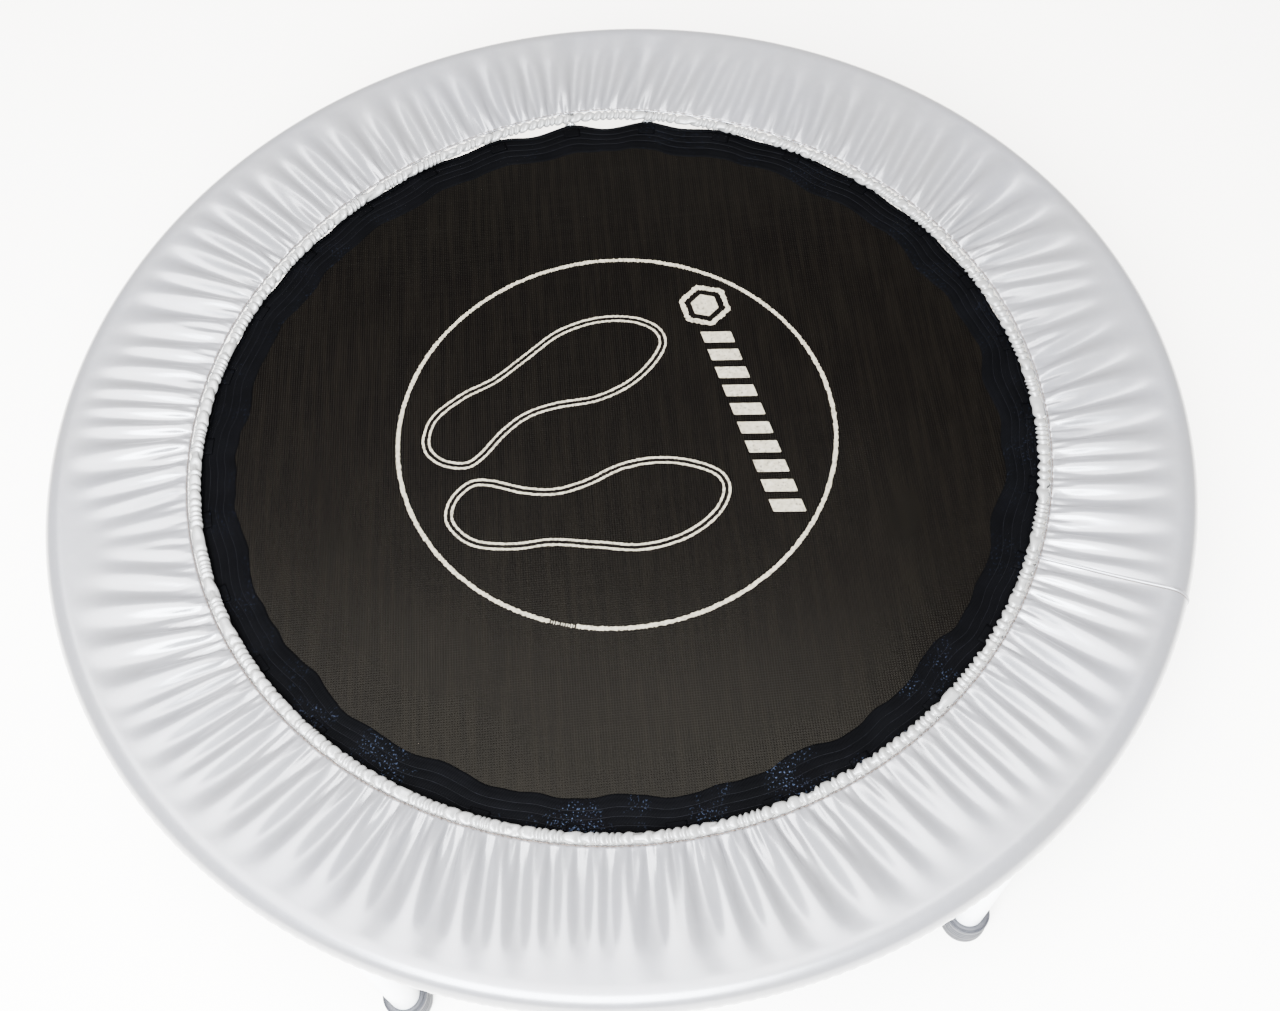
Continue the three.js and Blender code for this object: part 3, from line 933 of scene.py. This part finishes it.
def on_mat(points):
    """Points in x, y with the mat's height."""
    radius = np.hypot(points[..., 0], points[..., 1])
    return np.concatenate([points, mat_height(radius)[..., None]], -1)


def print_ribbon(path, width, seed, closed=True):
    """A flat line of print along a path of x, y points, its edges stepped by the weave."""
    side = left_sides(path, closed)
    rng = np.random.default_rng(seed)
    edges = []
    for way in (-1, 1):
        jag = rng.uniform(-0.16, 0.16, len(path)) * width
        edges.append(path + side * (way * width / 2 + jag)[:, None])
    points = on_mat(np.stack([edges[0], path, edges[1]]))
    return points, grid_faces(3, len(path), wrap_columns=closed)


def spaced(path, step):
    """A closed path as points about a step apart."""
    length, points_at = measured_loop(path)
    return points_at(np.linspace(0, length, round(length / step), endpoint=False))


def smooth_loop(corners, steps):
    """A closed Catmull-Rom curve through x, y points, with some steps from each to the next."""
    corners = np.asarray(corners, float)
    before, after = np.roll(corners, 1, 0), np.roll(corners, -1, 0)
    beyond = np.roll(corners, -2, 0)
    t = np.linspace(0, 1, steps, endpoint=False)[:, None, None]
    curve = 0.5 * (
        2 * corners
        + (after - before) * t
        + (2 * before - 5 * corners + 4 * after - beyond) * t ** 2
        + (3 * corners - before - 3 * after + beyond) * t ** 3
    )
    return curve.transpose(1, 0, 2).reshape(-1, 2)


def inset(path, distance):
    """A closed path moved inwards, to its left if it runs anticlockwise."""
    return path + distance * left_sides(path)


SOLE_OUTLINE = [  # millimetres about the sole's middle, the heel at -x, anticlockwise
    (-120, -3), (-113, -20), (-95, -34), (-64, -39.5), (-32, -38.5), (4, -44.5), (42, -50.5),
    (78, -43.5), (106, -25.5), (119.5, -3), (115, 17), (92, 31), (62, 37.5), (30, 34),
    (-2, 20.5), (-28, 15), (-54, 19), (-80, 28.5), (-98, 29.5), (-114, 16),
]


def sole_lines(centre, degrees, mirrored):
    """The twin lines of one sole, as closed x, y paths."""
    outline = np.array(SOLE_OUTLINE) * MM
    if mirrored:
        outline = (outline * np.array([1, -1]))[::-1]
    outer = smooth_loop(spun(outline, math.radians(degrees)) + np.array(centre) * MM, 12)
    return [spaced(outer, 1.2 * MM), spaced(inset(outer, 5.1 * MM), 1.2 * MM)]


def print_piece(name, parts):
    """A piece of print that lies on the mat."""
    piece = joined_object(name, parts, PRINT, smooth=False)
    for polygon in piece.data.polygons:
        if polygon.normal.z < 0:
            polygon.flip()
    follow_mat(piece)
    thicken_sheet(piece, PRINT_LIFT, 1)
    return piece


def circle_arc(start, end, count):
    """Points along the printed circle between two angles in degrees."""
    return PRINT_CENTRE + PRINT_RING_RADIUS * circle(np.radians(np.linspace(start, end, count)))


def print_ring():
    """The circle, its line worn into short scraps at the near left."""
    parts = [print_ribbon(circle_arc(-103.8, 249.5, 1000), PRINT_RING_WIDTH, 1, False)]
    rng = np.random.default_rng(2)
    for start in np.arange(-110.1, -104.0, 0.62):
        width = PRINT_RING_WIDTH * rng.uniform(0.45, 0.95)
        parts.append(print_ribbon(circle_arc(start, start + rng.uniform(0.2, 0.46), 3), width, 3, False))
    return print_piece("print_ring", parts)


def filled_shape(corners):
    """A flat filled convex shape with finely stepped sides, as points and faces."""
    outline = spaced(np.array(corners) * MM, 1.5 * MM)
    middle = outline.mean(0)
    rings = [middle + (outline - middle) * share for share in (1, 0.66, 0.33)]
    count = len(outline)
    faces = grid_faces(3, count).tolist() + fan_faces(2 * count, count, 3 * count)
    return on_mat(np.vstack([*rings, middle])), faces


def print_pattern():
    """A row of plain slanted bars, and a plain hexagon in a hexagonal outline at its end."""
    start, end = np.array([98.0, 91.0]), np.array([136.5, -89.0])
    run = (end - start) / np.linalg.norm(end - start)
    rise = np.array([-run[1], run[0]])
    bars, bar_width, height, slant = 10, 12.5, 26.0, 8.0
    across, up, lean = run * bar_width / 2, rise * height / 2, run * slant / 2
    parts = []
    for i in range(bars):
        middle = start + (end - start) * i / (bars - 1)
        corners = [middle - across - up - lean, middle + across - up - lean]
        corners += [middle + across + up + lean, middle - across + up + lean]
        parts.append(filled_shape(corners))
    hexagon = circle(np.radians(np.arange(6) * 60)) @ np.array([run, rise])
    centre = start - run * 38
    parts.append(filled_shape(centre + hexagon * 13))
    outline = spaced((centre + hexagon * 22) * MM, 1.2 * MM)
    parts.append(print_ribbon(outline, 4.5 * MM, 9))
    return print_piece("print_pattern", parts)


soles = {
    "print_sole_near": sole_lines((-29.2, -68.1), 0, False),
    "print_sole_far": sole_lines((-58.5, 48.5), 28.7, True),
}
prints = [print_ring(), print_pattern()]
for seed, (name, lines) in enumerate(soles.items(), 5):
    prints.append(print_piece(name, [print_ribbon(line, 2.0 * MM, seed) for line in lines]))


# ---- ring ----

SLOT_HALF_WIDTH = 2.5 * MM
SLOT_INNER = 455 * MM
SLOT_OUTER = 468 * MM
SLOT_TOP = RING_Z - 6 * MM
STUD_HOLE_RADIUS = 4.7 * MM


def ring_part(tube_radius, sides):
    """Points and faces of a torus along the ring's centreline."""
    columns = 240
    section = full_turn(sides)[:, None]
    radius = RING_RADIUS + tube_radius * np.cos(section)
    points = polar(radius, full_turn(columns), RING_Z + tube_radius * np.sin(section))
    return points, grid_faces(sides, columns, wrap_rows=True)


def slot_cutter(angle):
    """A bar with round long edges, as points and faces, where a spring's hook goes into the ring."""
    middle = (SLOT_INNER + SLOT_OUTER) / 2
    straight = (SLOT_OUTER - SLOT_INNER) / 2 - SLOT_HALF_WIDTH
    turn = np.linspace(-math.pi / 2, math.pi / 2, 7)
    right = (straight, 0) + SLOT_HALF_WIDTH * circle(turn)
    outline = np.vstack([right, -right]) + (middle, 0)
    return prism(spun(outline, angle), SLOT_TOP - 20 * MM, SLOT_TOP)


def stud_hole_cutter(angle):
    """A cylinder, as points and faces, where a leg's stud goes into the ring."""
    centre = SIDE_RADIUS * np.array([math.cos(angle), math.sin(angle)])
    outline = centre + STUD_HOLE_RADIUS * circle(full_turn(20))
    return prism(outline, RING_Z - 20 * MM, RING_Z - 6 * MM)


def prism(outline, low, high):
    """An upright prism over an outline of x, y points."""
    count = len(outline)
    bottom = np.column_stack([outline, np.full(count, low)])
    top = np.column_stack([outline, np.full(count, high)])
    return np.vstack([bottom, top]), capped_faces(2, count)


def cut(target, cutter):
    """Cuts one closed mesh out of another and removes it."""
    made = target.modifiers.new("cut", "BOOLEAN")
    made.operation = "DIFFERENCE"
    made.solver = "MANIFOLD"
    made.object = cutter
    with bpy.context.temp_override(object=target, active_object=target):
        bpy.ops.object.modifier_apply(modifier=made.name)
    bpy.data.objects.remove(cutter)


def ring_tube_piece():
    """The steel ring: a bent tube with a slot for each spring and a hole for each stud."""
    ring = joined_object("ring_tube", [ring_part(TUBE_RADIUS, 32)], FRAME_PAINT)
    bore = joined_object("bore", [ring_part(TUBE_RADIUS - TUBE_WALL, 28)], FRAME_PAINT)
    cut(ring, bore)
    cutters = [slot_cutter(angle) for angle in spring_angles] + [stud_hole_cutter(a) for a in leg_angles]
    cut(ring, joined_object("cutters", cutters, FRAME_PAINT))
    shade_by_angle(ring)
    return ring


def shade_by_angle(obj, degrees=35):
    """Smooth shading, with edges sharper than an angle kept crisp."""
    obj.data.polygons.foreach_set("use_smooth", [True] * len(obj.data.polygons))
    work = bmesh.new()
    work.from_mesh(obj.data)
    for edge in work.edges:
        edge.smooth = edge.is_manifold and edge.calc_face_angle(0) < math.radians(degrees)
    work.to_mesh(obj.data)
    work.free()


ring_tube = ring_tube_piece()
fit(ring_tube, "frame", "frame_ring")


def weld_bead(name, path, radius, seed):
    """A closed bead of weld: a bar round a path that swells and thins with each pool."""
    rng = np.random.default_rng(seed)
    pools = 1 + 0.1 * np.sin(np.arange(len(path)) * 1.7) + 0.06 * rng.uniform(-1, 1, len(path))
    bead = tube_object(name, path, radius * pools, 8, FRAME_PAINT, closed=True)
    fit(bead, "frame")
    return bead


def ring_joint():
    """The bead where the bent ring's ends are welded together."""
    angle = math.radians(201)
    turn = full_turn(72)
    reach = TUBE_RADIUS - 0.3 * MM
    path = polar(RING_RADIUS + reach * np.cos(turn), angle, RING_Z + reach * np.sin(turn))
    return weld_bead("ring_weld", path, 0.9 * MM, 31)


ring_joint()


# ---- legs ----

BOSS_RADIUS = 9 * MM
BOSS_BORE = 4.4 * MM
STUD_RADIUS = 4 * MM
THREAD_PITCH = 1.25 * MM
THREAD_DEPTH = 0.6 * MM
LEG_RADIUS = 12.5 * MM
LEG_WALL = 1.2 * MM
PLUG_LENGTH = 15 * MM
FOOT_RADIUS = 19 * MM


def boss_top(radius, turn):
    """Height of the ring's underside over a boss, whose middle is under the tube's."""
    across = SIDE_RADIUS + radius * np.cos(turn) - RING_RADIUS
    return RING_Z - np.sqrt(np.maximum(TUBE_RADIUS ** 2 - across ** 2, 0))


def boss(number, angle):
    """The threaded sleeve under the ring, its top shaped to the tube, with a bead of weld round it."""
    sides = 48
    turn = full_turn(sides)
    rows = [
        (BOSS_BORE, None), (BOSS_BORE, BOSS_BOTTOM + 0.8 * MM), (BOSS_BORE + 0.8 * MM, BOSS_BOTTOM),
        (BOSS_RADIUS - 0.8 * MM, BOSS_BOTTOM), (BOSS_RADIUS, BOSS_BOTTOM + 0.8 * MM), (BOSS_RADIUS, None),
    ]
    rings = [polar(r, turn, boss_top(r, turn) + 0.1 * MM if z is None else z) for r, z in rows]
    faces = grid_faces(len(rows), sides, wrap_rows=True)
    sleeve = mesh_object(f"boss_{number}", np.stack(rings), faces, FRAME_PAINT)
    shade_by_angle(place_at(sleeve, SIDE_RADIUS, angle))
    fit(sleeve, "frame", f"leg_boss_{number}")
    joint = polar(BOSS_RADIUS + 0.2 * MM, turn, boss_top(BOSS_RADIUS + 0.2 * MM, turn) - 0.4 * MM)
    bead = weld_bead(f"boss_weld_{number}", joint, 1.1 * MM, 40 + number)
    place_at(bead, SIDE_RADIUS, angle)


def leg_pipe(number, angle):
    """A leg's painted tube, its ends cut square and broken slightly."""
    inner = LEG_RADIUS - LEG_WALL
    profile = [(inner, LEG_BOTTOM), (LEG_RADIUS, LEG_BOTTOM), (LEG_RADIUS, LEG_TOP), (inner, LEG_TOP)]
    pipe = lathe(f"leg_pipe_{number}", rounded(profile, 0.4 * MM), LEG_PAINT, 64)
    fit(place_at(pipe, SIDE_RADIUS, angle), f"leg_{number}", f"leg_tube_{number}")


def leg_screw(number, angle):
    """The plug in a leg's top with its threaded stud."""
    sides = 32
    turn = full_turn(sides)
    plug_radius = LEG_RADIUS - LEG_WALL - 0.15 * MM
    bottom = LEG_TOP - PLUG_LENGTH
    profile = [
        (plug_radius - 0.6 * MM, bottom), (plug_radius, bottom + 0.6 * MM),
        (plug_radius, LEG_TOP - 0.9 * MM), (plug_radius - 0.7 * MM, LEG_TOP - 0.2 * MM),
        (STUD_RADIUS + 0.4 * MM, LEG_TOP - 0.2 * MM),
    ]
    rings = [polar(radius, turn, z) for radius, z in profile]
    for z in np.arange(LEG_TOP, STUD_TOP - 0.8 * MM, THREAD_PITCH / 4):
        saw = np.abs(((z / THREAD_PITCH - turn / math.tau) % 1) * 2 - 1)
        rings.append(polar(STUD_RADIUS - THREAD_DEPTH * saw, turn, z))
    rings.append(polar(STUD_RADIUS - 1.0 * MM, turn, STUD_TOP))
    faces = capped_faces(len(rings), sides)
    screw = mesh_object(f"leg_screw_{number}", np.stack(rings), faces, ZINC)
    shade_by_angle(place_at(screw, SIDE_RADIUS, angle), 50)
    fit(screw, f"leg_{number}", f"leg_stud_{number}")


def foot_cup(number, angle):
    """The rubber foot: a ribbed cup with a grooved lip, and rings under it to grip the floor."""
    bore = LEG_RADIUS + 0.15 * MM
    floor_of_cup = LEG_BOTTOM - 0.3 * MM
    lip = [
        (bore, floor_of_cup), (bore, FOOT_TOP), (bore + 2.2 * MM, FOOT_TOP),
        (bore + 3.2 * MM, FOOT_TOP - 1 * MM),
        (bore + 3.5 * MM, FOOT_TOP - 2.6 * MM), (bore + 4.3 * MM, FOOT_TOP - 2.6 * MM),
        (bore + 4.6 * MM, FOOT_TOP - 1.8 * MM), (bore + 5.6 * MM, FOOT_TOP - 2.6 * MM),
    ]
    ribs = []
    for z in (22 * MM, 17.5 * MM, 13 * MM):
        ribs += [(bore + 5.6 * MM, z + 1.4 * MM), (bore + 5.1 * MM, z + 0.9 * MM)]
        ribs += [(bore + 5.1 * MM, z - 0.9 * MM), (bore + 5.7 * MM, z - 1.4 * MM)]
    base = [
        (bore + 5.8 * MM, 8 * MM), (FOOT_RADIUS, 6 * MM), (FOOT_RADIUS, 1.5 * MM),
        (FOOT_RADIUS - 1.5 * MM, 0),
        (14 * MM, 0), (13.4 * MM, 1.2 * MM), (10.6 * MM, 1.2 * MM), (10 * MM, 0),
        (7 * MM, 0), (6.4 * MM, 1.2 * MM), (3.6 * MM, 1.2 * MM), (3 * MM, 0), (0, 0),
    ]
    profile = [(0, floor_of_cup), *lip, *ribs, *base]
    section = rounded(profile, 0.5 * MM, closed=False, steps=3)
    cup = lathe(f"foot_cup_{number}", section, RUBBER, 64, closed=False)
    fit(place_at(cup, SIDE_RADIUS, angle), f"leg_{number}", f"leg_foot_{number}")


for number, angle in enumerate(leg_angles, 1):
    boss(number, angle)
    leg_pipe(number, angle)
    leg_screw(number, angle)
    foot_cup(number, angle)


# ---- floor, light and camera ----

def floor():
    """A wide plain floor."""
    half = 6.0
    corners = [(-half, -half, 0), (half, -half, 0), (half, half, 0), (-half, half, 0)]
    made = mesh_object("floor", corners, [(0, 1, 2, 3)], pale_floor(), smooth=False)


def area_light(name, place, aim, spin, width, depth, power, color):
    """A soft light, width by depth, at a place and facing a point, turned about its own axis."""
    light = bpy.data.lights.new(name, "AREA")
    light.shape = "RECTANGLE"
    light.size = width
    light.size_y = depth
    light.energy = power
    light.color = color
    made = bpy.data.objects.new(name, light)
    made.location = place
    facing = (Vector(aim) - Vector(place)).to_track_quat("-Z", "Y")
    made.rotation_euler = (facing @ Quaternion((0, 0, 1), spin)).to_euler()
    bpy.context.scene.collection.objects.link(made)


def sky(color, strength):
    """An even pale surrounding."""
    world = bpy.data.worlds.new("sky")
    world.use_nodes = True
    background = world.node_tree.nodes["Background"]
    background.inputs["Color"].default_value = (*color, 1)
    background.inputs["Strength"].default_value = strength
    bpy.context.scene.world = world


def camera():
    """The camera: above the near edge, looking down, turned and rolled a little."""
    tilt, pan, roll = (math.radians(a) for a in (59.770, 1.379, -3.841))
    forward = Vector((math.sin(pan) * math.cos(tilt), math.cos(pan) * math.cos(tilt), -math.sin(tilt)))
    level = forward.cross(Vector((0, 0, 1))).normalized()
    upright = level.cross(forward)
    right = math.cos(roll) * level + math.sin(roll) * upright
    up = math.cos(roll) * upright - math.sin(roll) * level
    made = bpy.data.objects.new("camera", bpy.data.cameras.new("camera"))
    made.data.lens = 38.71
    made.data.sensor_width = 36
    made.data.clip_start = 0.01
    turn = Matrix((right, up, -forward)).transposed().to_4x4()
    made.matrix_world = Matrix.Translation((0, -0.6568, RING_Z + 0.9849)) @ turn
    bpy.context.scene.collection.objects.link(made)
    bpy.context.scene.camera = made


floor()
sky((1.0, 0.98, 0.955), 1.65)
area_light("window", (-0.8, -0.1, 4), (-0.8, -0.1, 0), math.radians(-11), 3.0, 3.8, 1000, (0.95, 0.965, 1))
area_light("fill", (-0.4, -1.6, 1.8), (0, -0.2, 0.2), 0, 1.6, 1.2, 680, (0.86, 0.925, 1))
camera()
